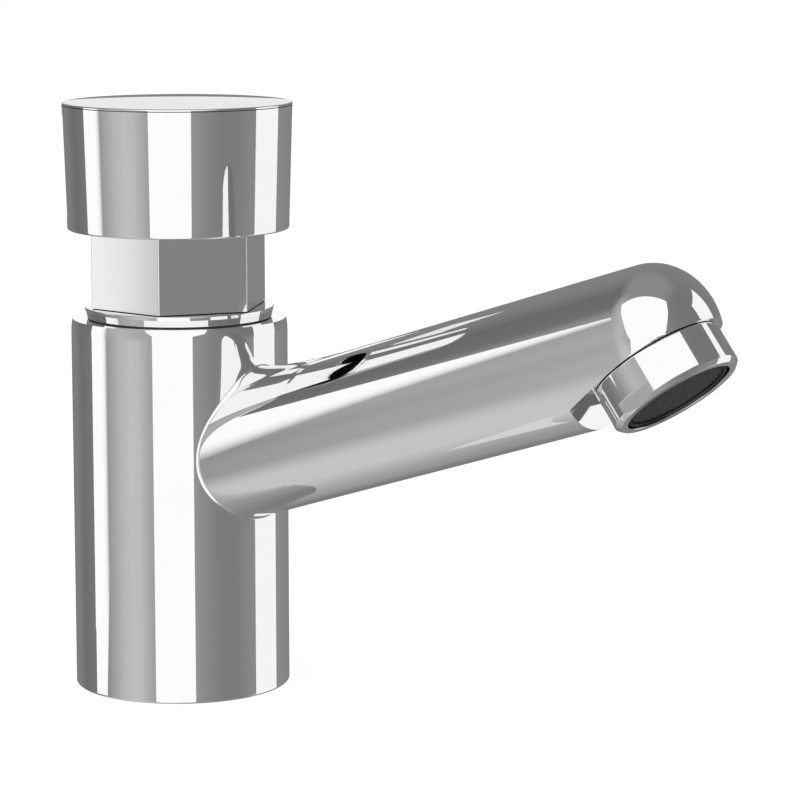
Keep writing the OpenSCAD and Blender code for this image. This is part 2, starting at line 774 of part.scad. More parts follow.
module grub_screw() {
    length = hub_boss_d / 2 - stem_d / 2 - 2 * fit_gap;
    color(steel) translate([stem_d / 2 + fit_gap, 0, z_hub_boss + hub_boss_h / 2]) rotate([0, 90, 0])
        difference() {
            cylinder(r = grub_d / 2, h = length);
            translate([0, 0, length / 2]) cylinder(r = grub_d / 4, h = length, $fn = 6);
        }
}

module stem() {
    color(steel) difference() {
        union() {
            bar(stem_tail_d / 2, z_nut - tail_stub, z_washer_top + eps);
            bar(stem_d / 2, z_washer_top, z_stem_top);
            bar(stem_collar_d / 2, z_piston_top, z_piston_top + stem_collar_h);
        }
        tube(stem_d, clip_groove_r, z_piston - clip_t, z_piston);
    }
}

module piston() {
    r = cylinder_d / 2 - free_gap;
    z_groove = z_piston + (piston_h - lip_groove_h) / 2;
    color(acetal) difference() {
        bar(r, z_piston, z_piston_top);
        bar(stem_d / 2 + fit_gap, z_piston - 1, z_piston_top + 1);
        tube(r + 1, lip_groove_r, z_groove, z_groove + lip_groove_h);
        translate([0, needle_at, 0]) bar(needle_d / 2 + run_gap, z_piston - 1, z_piston_top + 1);
    }
}

// A U-shaped ring whose lip wipes the timing cylinder
module lip_seal() {
    inner = lip_groove_r + fit_gap;
    outer = cylinder_d / 2 - run_gap;
    z0 = z_piston + (piston_h - lip_groove_h) / 2;
    slot = (outer - inner) / 4;
    middle = (inner + outer) / 2;
    color(rubber) rotate_extrude() polygon([
        [inner, z0], [middle - slot, z0], [middle - slot / 2, z0 + lip_groove_h / 2],
        [middle + slot / 2, z0 + lip_groove_h / 2], [outer - slot / 2, z0], [outer, z0 + slot],
        [outer - slot / 2, z0 + lip_groove_h], [inner, z0 + lip_groove_h]
    ]);
}

module piston_clip() {
    color(steel) difference() {
        tube(clip_d / 2, clip_groove_r + fit_gap, z_piston - clip_t, z_piston);
        translate([0, -clip_opening / 2, z_piston - clip_t - 1])
            cube([clip_d, clip_opening, clip_t + 2]);
    }
}

module valve_washer() {
    color(rubber) tube(washer_d / 2, stem_tail_d / 2 + fit_gap, z_washer, z_washer_top);
}

module valve_disc() {
    rim_r = washer_d / 2 + fit_gap;
    color(brass) difference() {
        bar(rim_r + disc_rim, z_disc, z_washer_top - washer_proud);
        bar(rim_r, z_washer, z_washer_top + 1);
        bar(stem_tail_d / 2 + fit_gap, z_disc - 1, z_washer_top);
    }
}

module stem_nut() {
    color(steel) difference() {
        translate([0, 0, z_nut]) cylinder(r = nut_af / sqrt(3), h = nut_h, $fn = 6);
        bar(stem_tail_d / 2 + fit_gap, z_nut - 1, z_disc + 1);
    }
}

body_shell();
spout();
spout_braze_fillet();
base_gasket();
flow_regulator();
inlet_strainer();
valve_seat();
seat_o_ring();
cage();
bonnet();
bonnet_gasket();
guide_bush();
stem_seal();
seal_retainer();
timing_needle();
return_spring();
aerator_ring();
aerator_gasket();
aerator_insert();
aerator_mesh();
button_cap();
button_hub();
hub_ring();
grub_screw();
stem();
piston();
lip_seal();
piston_clip();
valve_washer();
valve_disc();
stem_nut();
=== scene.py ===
"""Looks of a push timed tap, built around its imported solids.

Metres, +Z up, origin at the centre of the base, spout along -Y.
"""

import json
import math

import bmesh
import bpy
from mathutils import Matrix, Vector


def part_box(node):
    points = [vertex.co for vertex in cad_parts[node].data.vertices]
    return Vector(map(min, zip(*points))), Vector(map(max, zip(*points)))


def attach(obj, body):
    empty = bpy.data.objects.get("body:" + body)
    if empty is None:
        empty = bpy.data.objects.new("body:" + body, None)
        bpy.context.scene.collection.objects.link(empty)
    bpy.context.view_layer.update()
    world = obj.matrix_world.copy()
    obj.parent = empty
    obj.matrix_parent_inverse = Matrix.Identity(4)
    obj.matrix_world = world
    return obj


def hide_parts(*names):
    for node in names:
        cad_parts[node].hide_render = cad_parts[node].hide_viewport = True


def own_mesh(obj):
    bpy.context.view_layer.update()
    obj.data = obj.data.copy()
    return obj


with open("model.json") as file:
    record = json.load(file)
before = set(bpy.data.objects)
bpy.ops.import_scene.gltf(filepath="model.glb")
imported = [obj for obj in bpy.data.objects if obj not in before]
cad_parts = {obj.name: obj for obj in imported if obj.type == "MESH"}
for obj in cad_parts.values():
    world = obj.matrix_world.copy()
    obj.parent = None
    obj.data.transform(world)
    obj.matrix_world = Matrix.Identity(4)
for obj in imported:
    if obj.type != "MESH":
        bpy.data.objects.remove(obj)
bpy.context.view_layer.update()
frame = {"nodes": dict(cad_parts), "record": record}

MM = 0.001
AROUND = 192
ROUNDING_STEPS = 6
WELD = 0.001 * MM
CREASE = math.radians(32)

# Sizes that the frame gives
body_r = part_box("body_shell")[1].x
body_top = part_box("body_shell")[1].z
flange_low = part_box("bonnet_gasket")[1].z
flange_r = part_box("bonnet")[1].x
bonnet_low, bonnet_top = (corner.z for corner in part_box("bonnet"))
button_low, button_peak = (corner.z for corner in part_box("button_cap"))
button_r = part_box("button_cap")[1].x
spout_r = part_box("spout")[1].x
ring_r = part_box("aerator_ring")[1].x
spring_low, spring_high = (corner.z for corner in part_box("return_spring"))
spring_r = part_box("return_spring")[1].x

# The spout's axis rises from the body's axis; the outlet's axis leaves it near the dome
SPOUT_RISE = math.radians(17.8)
SPOUT_Z = 45.1 * MM
SPOUT_LENGTH = 126.5 * MM
OUTLET_TILT = math.radians(38)
OUTLET_BACK = 3 * MM
along_spout = Matrix.Translation((0, 0, SPOUT_Z)) @ Matrix.Rotation(math.pi / 2 - SPOUT_RISE, 4, "X")
turn_down = Matrix.Rotation(math.pi / 2 + SPOUT_RISE - OUTLET_TILT, 4, "X")
along_outlet = along_spout @ Matrix.Translation((0, 0, SPOUT_LENGTH - OUTLET_BACK)) @ turn_down


# Node helpers

def node(tree, kind, inputs=None, **settings):
    """Adds a node; an input is a value or the socket that feeds it."""
    made = tree.nodes.new(kind)
    for name, value in settings.items():
        setattr(made, name, value)
    for socket, value in (inputs or {}).items():
        if isinstance(value, bpy.types.NodeSocket):
            tree.links.new(value, made.inputs[socket])
        else:
            made.inputs[socket].default_value = value
    return made


def spread(tree, value, low, high):
    """Maps a value from 0 to 1 onto low to high."""
    return node(tree, "ShaderNodeMapRange", {"Value": value, "To Min": low, "To Max": high}).outputs[0]


def combine(tree, operation, first, second):
    """Two values put together by an operation of the Math node."""
    return node(tree, "ShaderNodeMath", {0: first, 1: second}, operation=operation).outputs[0]


def noise(tree, position, scale, detail):
    """Soft noise from 0 to 1."""
    made = node(tree, "ShaderNodeTexNoise", {"Vector": position, "Scale": scale, "Detail": detail})
    return made.outputs[0]


def shade(tree, colour, amount):
    """Darkens a colour by an amount from 0 to 1."""
    dark = node(tree, "ShaderNodeMix", {6: colour, 7: (0, 0, 0, 1), 0: amount}, data_type="RGBA")
    return dark.outputs[2]


def blend_shaders(tree, share, first, second):
    """Two shader nodes mixed by a share of the second."""
    mixed = node(tree, "ShaderNodeMixShader", {0: share, 1: first.outputs[0], 2: second.outputs[0]})
    return mixed.outputs[0]


# Effects that several finishes share

def new_effect(name, *values):
    """A shader node group: position, colour and named values in; colour, roughness and height out."""
    tree = bpy.data.node_groups.new(name, "ShaderNodeTree")
    kinds = {"Position": "NodeSocketVector", "Colour": "NodeSocketColor"}
    sockets = {"INPUT": ("Position", "Colour", *values), "OUTPUT": ("Colour", "Roughness", "Height")}
    for side, labels in sockets.items():
        for label in labels:
            tree.interface.new_socket(label, in_out=side, socket_type=kinds.get(label, "NodeSocketFloat"))
    return tree, tree.nodes.new("NodeGroupInput").outputs, tree.nodes.new("NodeGroupOutput").inputs


def make_polish():
    """Plated and buffed metal: cloudy wiping marks, and waves left by the buffing wheel."""
    tree, start, end = new_effect("polish", "Smooth", "Hazy")
    clouds = noise(tree, start["Position"], scale=45, detail=4)
    specks = noise(tree, start["Position"], scale=2600, detail=2)
    waves = noise(tree, start["Position"], scale=70, detail=0)
    haze = combine(tree, "MULTIPLY", clouds, specks)
    rough = node(tree, "ShaderNodeMapRange", {
        "Value": haze, "From Min": 0.12, "From Max": 0.42,
        "To Min": start["Smooth"], "To Max": start["Hazy"]})
    film = spread(tree, haze, 0, 0.05)
    tree.links.new(shade(tree, start["Colour"], film), end["Colour"])
    tree.links.new(rough.outputs[0], end["Roughness"])
    tree.links.new(waves, end["Height"])
    return tree


def make_turning():
    """Fine rings left by a lathe tool round Z, with uneven depth."""
    tree, start, end = new_effect("turning", "Pitch")
    uneven = noise(tree, start["Position"], scale=300, detail=5)
    rings = node(
        tree, "ShaderNodeTexWave",
        {"Vector": start["Position"], "Scale": start["Pitch"], "Distortion": 1.5, "Detail": 2},
        bands_direction="Z")
    depth = combine(tree, "MULTIPLY", rings.outputs[1], uneven)
    stain = spread(tree, uneven, 0, 0.25)
    tree.links.new(shade(tree, start["Colour"], stain), end["Colour"])
    tree.links.new(spread(tree, depth, 0.22, 0.4), end["Roughness"])
    tree.links.new(depth, end["Height"])
    return tree


def make_grain():
    """The fine skin of a moulded piece, with a little uneven tone."""
    tree, start, end = new_effect("grain", "Scale", "Gloss", "Matt")
    skin = noise(tree, start["Position"], scale=start["Scale"], detail=3)
    tone = noise(tree, start["Position"], scale=160, detail=3)
    stain = spread(tree, tone, 0, 0.2)
    tree.links.new(shade(tree, start["Colour"], stain), end["Colour"])
    tree.links.new(spread(tree, skin, start["Gloss"], start["Matt"]), end["Roughness"])
    tree.links.new(skin, end["Height"])
    return tree


def finish(name, effect, colour, values, bump, metallic=0.0):
    """A material whose colour, roughness and relief come from an effect; bump is the relief's depth."""
    material = bpy.data.materials.new(name)
    material.use_nodes = True
    tree = material.node_tree
    shader = tree.nodes["Principled BSDF"]
    shader.inputs["Metallic"].default_value = metallic
    spot = node(tree, "ShaderNodeTexCoord")
    inputs = {"Position": spot.outputs["Object"], "Colour": (*colour, 1), **values}
    surface = node(tree, "ShaderNodeGroup", inputs, node_tree=effect).outputs
    relief = node(tree, "ShaderNodeBump", {"Strength": 1.0, "Distance": bump, "Height": surface["Height"]})
    tree.links.new(surface["Colour"], shader.inputs["Base Color"])
    tree.links.new(surface["Roughness"], shader.inputs["Roughness"])
    tree.links.new(relief.outputs[0], shader.inputs["Normal"])
    return material


polish = make_polish()
turning = make_turning()
grain = make_grain()
chrome = finish(
    "chrome", polish, (0.92, 0.92, 0.925), {"Smooth": 0.015, "Hazy": 0.045},
    bump=0.0015 * MM, metallic=1.0)
brass = finish("brass", turning, (0.79, 0.62, 0.30), {"Pitch": 2200}, bump=0.008 * MM, metallic=1.0)
steel = finish("steel", turning, (0.70, 0.71, 0.73), {"Pitch": 3000}, bump=0.006 * MM, metallic=1.0)
rubber = finish(
    "rubber", grain, (0.035, 0.035, 0.04), {"Scale": 2500, "Gloss": 0.6, "Matt": 0.85},
    bump=0.02 * MM)
white_plastic = finish(
    "white_plastic", grain, (0.86, 0.86, 0.82), {"Scale": 4000, "Gloss": 0.35, "Matt": 0.5},
    bump=0.008 * MM)
grey_plastic = finish(
    "grey_plastic", grain, (0.085, 0.085, 0.09), {"Scale": 4000, "Gloss": 0.4, "Matt": 0.6},
    bump=0.01 * MM)
black_plastic = finish(
    "black_plastic", grain, (0.012, 0.012, 0.013), {"Scale": 4000, "Gloss": 0.45, "Matt": 0.65},
    bump=0.01 * MM)
# Near black: painted shade in grooves and hollows, and the button's bare inside without plating
unplated_and_painted_shade = finish(
    "unplated_and_painted_shade", grain, (0.01, 0.009, 0.008), {"Scale": 1800, "Gloss": 0.85, "Matt": 1.0},
    bump=0.002 * MM)

FINISHES = {
    "chrome": chrome, "brass": brass, "steel": steel, "rubber": rubber, "white_plastic": white_plastic,
    "grey_plastic": grey_plastic, "black_plastic": black_plastic}


# Mesh helpers

def whole(mesh):
    """All that a mesh holds."""
    return mesh.verts[:] + mesh.edges[:] + mesh.faces[:]


def rim_of(mesh):
    """A mesh's open edges."""
    return [edge for edge in mesh.edges if edge.is_boundary]


def wires_of(mesh):
    """A mesh's edges that carry no face."""
    return [edge for edge in mesh.edges if edge.is_wire]


def draw_outline(mesh, corners, closed=True):
    """A wire in the XZ plane through corners of (radius, height) or (radius, height, rounding)."""
    verts = [mesh.verts.new((corner[0], 0, corner[1])) for corner in corners]
    ends = verts[1:] + verts[:1] if closed else verts[1:]
    for first, second in zip(verts, ends):
        mesh.edges.new((first, second))
    for vert, corner in zip(verts, corners):
        if len(corner) == 3:
            round_off(mesh, vert, corner[2])


def round_off(mesh, vert, radius):
    """Rounds the corner of a wire at a vertex."""
    before, after = (edge.other_vert(vert).co - vert.co for edge in vert.link_edges)
    reach = radius / math.tan(before.angle(after) / 2)
    bmesh.ops.bevel(
        mesh, geom=[vert], offset=reach, offset_type="OFFSET", affect="VERTICES", segments=ROUNDING_STEPS,
        profile=0.5, material=-1)


def turn_round(mesh):
    """Turns the wire about Z into a round piece."""
    bmesh.ops.spin(
        mesh, geom=whole(mesh), cent=(0, 0, 0), axis=(0, 0, 1), angle=math.tau, steps=AROUND,
        use_merge=True)
    bmesh.ops.remove_doubles(mesh, verts=mesh.verts, dist=WELD)


def draw_loop(mesh, points):
    """A closed wire through points; gives its edges."""
    verts = [mesh.verts.new(point) for point in points]
    return [mesh.edges.new(pair) for pair in zip(verts, verts[1:] + verts[:1])]


def place(name, mesh, slot, body, replaced):
    """Makes a mesh a piece: smooth shading with creases, its finish, and its place in the frame."""
    bmesh.ops.remove_doubles(mesh, verts=mesh.verts, dist=WELD)
    bmesh.ops.recalc_face_normals(mesh, faces=mesh.faces)
    data = bpy.data.meshes.new(name)
    mesh.to_mesh(data)
    mesh.free()
    data.shade_smooth()
    data.set_sharp_from_angle(angle=CREASE)
    # Faces with more than four corners are the flat ends
    for face in data.polygons:
        face.use_smooth = face.loop_total <= 4
    data.materials.append(FINISHES[slot])
    piece = bpy.data.objects.new(name, data)
    bpy.context.scene.collection.objects.link(piece)
    even = piece.modifiers.new("even_shading", "WEIGHTED_NORMAL")
    even.keep_sharp = True
    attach(piece, body)
    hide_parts(replaced)
    return piece


def paint_dark_shade(piece, inside):
    """Gives the faces whose middles lie inside a hollow a near-black finish as painted shade; in the
    button's bore it also stands for bare metal without plating.
    """
    piece.data.materials.append(unplated_and_painted_shade)
    for face in piece.data.polygons:
        if inside(face.center):
            face.material_index = 1


# The fixed pieces

def make_pillar_body():
    """The pillar, with the bores for the inlet, the valve and the bonnet."""
    mount = next(m for m in frame["record"]["mounts"] if m["name"] == "inlet_thread")
    inlet_r = mount["dims"]["r_mm"] * MM
    inlet_depth = mount["dims"]["length_mm"] * MM
    gasket_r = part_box("base_gasket")[1].x
    gasket_w, groove_gap = 4 * MM, 0.05 * MM
    groove_in, groove_out = gasket_r - gasket_w - groove_gap, gasket_r + groove_gap
    groove_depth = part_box("base_gasket")[1].z
    pocket_r, port_r, chamber_r = 8.8 * MM, 7 * MM, 13 * MM
    main_r, thread_r = 16 * MM, 17.5 * MM
    web_h, seat_drop, thread_spare = 4 * MM, 1.25 * MM, 0.5 * MM
    web_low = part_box("flow_regulator")[1].z
    web_high = web_low + web_h
    seat_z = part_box("seat_o_ring")[0].z - seat_drop
    thread_z = bonnet_low - thread_spare
    base_edge, inlet_edge, mouth_edge = 0.5 * MM, 0.4 * MM, 0.2 * MM
    buffed_h, buffed_in, buffed_steps = 2.6 * MM, 0.3 * MM, 12
    arc_r = (buffed_h ** 2 + buffed_in ** 2) / (2 * buffed_in)
    buffed = []
    for step in range(buffed_steps + 1):
        rise = buffed_h * step / buffed_steps
        buffed.append((body_r - arc_r + math.sqrt(arc_r ** 2 - rise ** 2), body_top - buffed_h + rise))
    mesh = bmesh.new()
    draw_outline(mesh, [
        (body_r, 0, base_edge), *buffed, (thread_r, body_top, mouth_edge), (thread_r, thread_z),
        (main_r, thread_z), (main_r, seat_z), (chamber_r, seat_z), (chamber_r, web_high),
        (port_r, web_high), (port_r, web_low), (pocket_r, web_low), (pocket_r, inlet_depth),
        (inlet_r, inlet_depth), (inlet_r, 0, inlet_edge), (groove_in, 0), (groove_in, groove_depth),
        (groove_out, groove_depth), (groove_out, 0)])
    turn_round(mesh)
    place("pillar_body", mesh, "chrome", "tap_body", "body_shell")


def cut_away(mesh, first, second):
    """Removes what lies beyond two planes, each a point and a direction; closes the cut, gives its rim."""
    near = 10 * WELD
    for point, direction in (first, second):
        bmesh.ops.bisect_plane(mesh, geom=whole(mesh), dist=WELD, plane_co=point, plane_no=direction)

    def beyond(co, plane):
        return (co - plane[0]).dot(plane[1])

    def on(vert, plane):
        return abs(beyond(vert.co, plane)) < near

    gone = [
        face for face in mesh.faces
        if all(beyond(face.calc_center_median(), plane) > 0 for plane in (first, second))]
    bmesh.ops.delete(mesh, geom=gone, context="FACES")
    rim = rim_of(mesh)
    rim_verts = {vert for edge in rim for vert in edge.verts}
    corners = [vert for vert in rim_verts if on(vert, first) and on(vert, second)]
    corners.sort(key=lambda vert: vert.co.x)
    chord = mesh.edges.new((corners[0], corners[-1]))
    for plane in (first, second):
        side = [edge for edge in rim if all(on(vert, plane) for vert in edge.verts)]
        bmesh.ops.edgeloop_fill(mesh, edges=side + [chord])
    return rim


def make_spout():
    """The spout's tube with its domed end, and the notch above and behind the aerator ring."""
    root, wall_y = 12 * MM, -17.6 * MM
    dome_length, dome_steps = 11.5 * MM, 32
    seat_drop, step_back = 4.2 * MM, 9.6 * MM
    notch_edge, notch_edge_steps = 0.12 * MM, 3
    quarter = [math.pi / 2 * step / dome_steps for step in range(dome_steps + 1)]
    dome = [(spout_r * math.cos(a), SPOUT_LENGTH + dome_length * math.sin(a)) for a in quarter]
    mesh = bmesh.new()
    draw_outline(mesh, [(spout_r, root)] + dome, closed=False)
    turn_round(mesh)
    bmesh.ops.transform(mesh, matrix=along_spout, verts=mesh.verts)
    bmesh.ops.bisect_plane(
        mesh, geom=whole(mesh), dist=WELD, plane_co=(0, wall_y, 0), plane_no=(0, 1, 0), clear_outer=True)
    bmesh.ops.edgeloop_fill(mesh, edges=rim_of(mesh))
    outlet_way = along_outlet.to_3x3() @ Vector((0, 0, 1))
    outward = Vector((0, -1, 0))
    seat = (along_outlet @ Vector((0, 0, seat_drop)), outlet_way)
    step_wall = (along_outlet.translation - outward * step_back, outward)
    rim = cut_away(mesh, seat, step_wall)
    bmesh.ops.bevel(
        mesh, geom=[edge for edge in rim if edge.is_valid], offset=notch_edge, offset_type="OFFSET",
        affect="EDGES", segments=notch_edge_steps, profile=0.5, material=-1, clamp_overlap=True)
    place("spout_tube", mesh, "chrome", "tap_body", "spout")


def make_braze_bead():
    """The bead in the corner round the spout's root, drawn out along the spout's top."""
    turns, arc = 192, 16
    low_leg, high_leg, high_run = 0.4 * MM, 2.4 * MM, 26 * MM
    leg_fade, run_fade = 14, 24
    pull = 0.43
    # The bead starts a little inside both walls, and its corner is tucked in towards the spout's core
    sink = 0.004 * MM
    core, tuck = SPOUT_LENGTH / 4, 0.01

    def meet(r, q, a):
        """How far along the spout its round of radius r, at angle a, meets an upright round of radius q."""
        across = math.sqrt(q * q - (r * math.cos(a)) ** 2)
        return (r * math.sin(a) * math.sin(SPOUT_RISE) + across) / math.cos(SPOUT_RISE)

    def on_tube(r, s, a):
        """The point at radius r, distance s along the spout and angle a round it."""
        return along_spout @ Vector((r * math.cos(a), r * math.sin(a), s))

    def section(a):
        """Points of the bead's section at angle a, from the spout to the body, after its corner."""
        leg = low_leg + (high_leg - low_leg) * ((1 + math.sin(a)) / 2) ** leg_fade
        run = leg + (high_run - high_leg) * max(0, math.sin(a)) ** run_fade
        r, q = spout_r - sink, body_r - sink
        corner = on_tube(r, meet(r, q, a), a)
        low = on_tube(r, meet(r, q, a) + run, a)
        high = on_tube(r + leg, meet(r + leg, q, a), a)
        handles = low.lerp(corner, pull), high.lerp(corner, pull)
        points = [corner.lerp(on_tube(0, core, a), tuck)]
        for step in range(arc + 1):
            t = step / arc
            ease = (1 - t) ** 3, 3 * t * (1 - t) ** 2, 3 * t * t * (1 - t), t ** 3
            points.append(low * ease[0] + handles[0] * ease[1] + handles[1] * ease[2] + high * ease[3])
        return points

    sections = [section(math.tau * turn / turns) for turn in range(turns)]
    mesh = bmesh.new()
    loops = [draw_loop(mesh, loop) for loop in zip(*sections)]
    for first, second in zip(loops, loops[1:] + loops[:1]):
        bmesh.ops.bridge_loops(mesh, edges=first + second)
    place("braze_bead", mesh, "chrome", "tap_body", "spout_braze_fillet")


def make_bonnet():
    """The bonnet as one closed shell: hexagon, flange, threaded spigot, timing cylinder and gland bore."""
    across_flats, hex_chamfer, corner_round = 32.7 * MM, 0.8 * MM, 0.3 * MM
    flange_h, flange_over, flange_face, flange_edge = 2.2 * MM, 0.2 * MM, 0.4 * MM, 0.15 * MM
    thread_r, cylinder_r, bush_r, gland_r = 17.45 * MM, 11.5 * MM, 5.5 * MM, 7.5 * MM
    roof_drop, gland_depth = 10 * MM, 7 * MM
    foot_h, foot_in = 0.14 * MM, 0.3 * MM
    hex_low = flange_low + flange_h
    flange_low_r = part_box("bonnet_gasket")[1].x + flange_over
    roof_z, gland_z = bonnet_top - roof_drop, bonnet_top - gland_depth
    mesh = bmesh.new()
    draw_outline(mesh, [
        (flange_r - flange_face, hex_low), (flange_r, hex_low, flange_edge),
        (flange_low_r, flange_low, flange_edge), (thread_r, flange_low), (thread_r, bonnet_low),
        (cylinder_r, bonnet_low), (cylinder_r, roof_z), (bush_r, roof_z), (bush_r, gland_z),
        (gland_r, gland_z), (gland_r, bonnet_top)], closed=False)
    turn_round(mesh)
    last = [edge for edge in rim_of(mesh) if edge.verts[0].co.z < gland_z]
    inner = [edge for edge in rim_of(mesh) if edge.verts[0].co.z > gland_z]
    outlines = (
        (hex_low, foot_in), (hex_low + foot_h, foot_in), (hex_low + foot_h, 0),
        (bonnet_top - hex_chamfer, 0), (bonnet_top, hex_chamfer))
    for level, inset in outlines:
        hexagon_r = (across_flats - 2 * inset) / math.sqrt(3)
        corners = bmesh.ops.create_circle(mesh, segments=6, radius=hexagon_r)["verts"]
        bmesh.ops.translate(mesh, verts=corners, vec=(0, 0, level))
        for vert in corners:
            round_off(mesh, vert, corner_round)
        outline = wires_of(mesh)
        bmesh.ops.bridge_loops(mesh, edges=last + outline)
        last = outline
    bmesh.ops.bridge_loops(mesh, edges=last + inner)
    piece = place("hex_bonnet", mesh, "chrome", "tap_body", "bonnet")
    # Painted shade: the groove at the hexagon's foot is coloured near-black
    paint_dark_shade(piece, lambda middle: hex_low + WELD < middle.z < hex_low + foot_h + WELD)


def make_aerator_ring():
    """The ring round the outlet, with its thread, chamfer, mouth and two spanner flats."""
    top, end = 4.3 * MM, 12.7 * MM
    neck_r, bore_r, mouth_r = 10.95 * MM, 8.8 * MM, 10.8 * MM
    neck_end, mouth_floor = -1.2 * MM, 7.7 * MM
    chamfer, edge = 0.9 * MM, 0.3 * MM
    flat_x, flat_top, flat_corner = 12.4 * MM, 9.7 * MM, 1.2 * MM
    mesh = bmesh.new()
    draw_outline(mesh, [
        (neck_r, neck_end, edge), (neck_r, top), (ring_r, top, edge), (ring_r, end - chamfer, edge),
        (ring_r - chamfer, end, edge), (mouth_r, end, edge / 2), (mouth_r, mouth_floor),
        (bore_r, mouth_floor), (bore_r, neck_end)])
    turn_round(mesh)
    piece = place("aerator_ring_shell", mesh, "chrome", "tap_body", "aerator_ring")
    half = math.sqrt(ring_r ** 2 - flat_x ** 2)
    reach = 2 * MM
    flat = (
        (-half, flat_top), (half, flat_top), (half + reach, end + reach), (-half - reach, end + reach))
    blocks = bmesh.new()
    for side in (-1, 1):
        wire = draw_loop(blocks, [(side * flat_x, y, z) for y, z in flat])
        for vert in list(wire[0].verts):
            round_off(blocks, vert, flat_corner)
        face = bmesh.ops.edgeloop_fill(blocks, edges=wires_of(blocks))["faces"]
        bar = bmesh.ops.extrude_face_region(blocks, geom=face)["geom"]
        far = [item for item in bar if isinstance(item, bmesh.types.BMVert)]
        bmesh.ops.translate(blocks, verts=far, vec=(side * reach, 0, 0))
    bmesh.ops.recalc_face_normals(blocks, faces=blocks.faces)
    cut_from(piece, blocks)
    piece.data.transform(along_outlet)


def cut_from(piece, cutter):
    """Cuts a closed mesh from a piece's own mesh, and frees it."""
    data = bpy.data.meshes.new("cutter")
    cutter.to_mesh(data)
    cutter.free()
    tool = bpy.data.objects.new("cutter", data)
    bpy.context.scene.collection.objects.link(tool)
    even = piece.modifiers["even_shading"]
    even.show_viewport = False
    cut = piece.modifiers.new("cut", "BOOLEAN")
    cut.object = tool
    cut.solver = "EXACT"
    shaped = bpy.data.meshes.new_from_object(piece.evaluated_get(bpy.context.evaluated_depsgraph_get()))
    piece.modifiers.remove(cut)
    even.show_viewport = True
    shaped.shade_smooth()
    shaped.set_sharp_from_angle(angle=CREASE)
    piece.data = shaped
    bpy.data.objects.remove(tool)


def make_aerator_screen():
    """The woven screen in the ring's mouth."""
    pitch, wire = 0.36 * MM, 0.16 * MM
    low, high = 11.45 * MM, 11.95 * MM
    screen_r = 9.7 * MM
    cells = 2 * math.ceil(screen_r / pitch)
    mesh = bmesh.new()
    bmesh.ops.create_grid(mesh, x_segments=cells, y_segments=cells, size=cells * pitch / 2)
    outside = [face for face in mesh.faces if face.calc_center_median().length > screen_r - pitch / 2]
    bmesh.ops.delete(mesh, geom=outside, context="FACES")
    weave = (high - low - wire) / 2
    for vert in mesh.verts:
        column, row = round(vert.co.x / pitch), round(vert.co.y / pitch)
        vert.co.z = (low + high) / 2 + (weave if (column + row) % 2 else -weave)
    bmesh.ops.wireframe(
        mesh, faces=mesh.faces, thickness=wire, use_replace=True, use_boundary=True, use_even_offset=False)
    bmesh.ops.transform(mesh, matrix=along_outlet, verts=mesh.verts)
    place("aerator_screen", mesh, "grey_plastic", "tap_body", "aerator_mesh")


def make_return_spring():
    """The wound spring under the piston, drawn at one length on the fixed body; in the tap it shortens with
    the button.
    """
    wire_r, wire_steps = 0.6 * MM, 16
    turns, per_turn = 4.5, 40
    steps = round(turns * per_turn)
    rise = spring_high - spring_low - 2 * wire_r
    foot = Matrix.Translation((spring_r - wire_r, 0, spring_low + wire_r))
    mesh = bmesh.new()
    bmesh.ops.create_circle(mesh, segments=wire_steps, radius=wire_r, cap_ends=False)
    bmesh.ops.transform(mesh, matrix=foot @ Matrix.Rotation(math.pi / 2, 4, "X"), verts=mesh.verts)
    bmesh.ops.spin(
        mesh, geom=whole(mesh), cent=(0, 0, 0), axis=(0, 0, 1), dvec=(0, 0, rise / steps),
        angle=math.tau * turns, steps=steps)
    bmesh.ops.holes_fill(mesh, edges=rim_of(mesh))
    piece = place("wound_spring", mesh, "steel", "tap_body", "return_spring")
    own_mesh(piece)


# The moving piece that shows

def make_push_button():
    """The button's shell: a crowned top, a skirt that widens upwards, and a bore with a ring's groove."""
    crown, crown_steps = 0.5 * MM, 24
    top_edge, lip, top_wall = 0.3 * MM, 0.4 * MM, 3.4 * MM
    seam_drop, seam_h, seam_in = 0.45 * MM, 0.16 * MM, 0.25 * MM
    low_r, bore_r, groove_r = 23 * MM, 21 * MM, 21.6 * MM
    edge_z = button_peak - crown
    seam_z = edge_z - seam_drop
    ceiling = button_peak - top_wall
    ring_low, ring_high = (corner.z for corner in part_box("hub_ring"))
    dome_r = (button_r ** 2 + crown ** 2) / (2 * crown)
    top = []
    for step in range(crown_steps):
        r = (button_r - top_edge) * step / crown_steps
        top.append((r, button_peak - dome_r + math.sqrt(dome_r ** 2 - r ** 2)))

    def skirt_r(z):
        return button_r + (low_r - button_r) * (edge_z - z) / (edge_z - button_low)

    seam_r, under_r = skirt_r(seam_z), skirt_r(seam_z - seam_h)

    # Painted shade: the seam round the top edge is coloured near-black; the bore is near-black as bare
    # metal without plating and as painted shade
    def in_painted_shade(middle):
        r = middle.xy.length
        in_bore = button_low + lip < middle.z < ceiling + WELD and r < groove_r + WELD
        in_seam = seam_z - seam_h - WELD < middle.z < seam_z + WELD and r < under_r - WELD
        return in_bore or in_seam

    mesh = bmesh.new()
    draw_outline(mesh, top + [
        (button_r, edge_z, top_edge), (seam_r, seam_z), (seam_r - seam_in, seam_z),
        (seam_r - seam_in, seam_z - seam_h), (under_r, seam_z - seam_h), (low_r, button_low, lip),
        (bore_r, button_low, lip), (bore_r, ring_low), (groove_r, ring_low), (groove_r, ring_high),
        (bore_r, ring_high), (bore_r, ceiling), (0, ceiling)], closed=False)
    turn_round(mesh)
    piece = place("push_button_shell", mesh, "chrome", "push_button", "button_cap")
    # Painted shade on the seam and in the bore
    paint_dark_shade(piece, in_painted_shade)


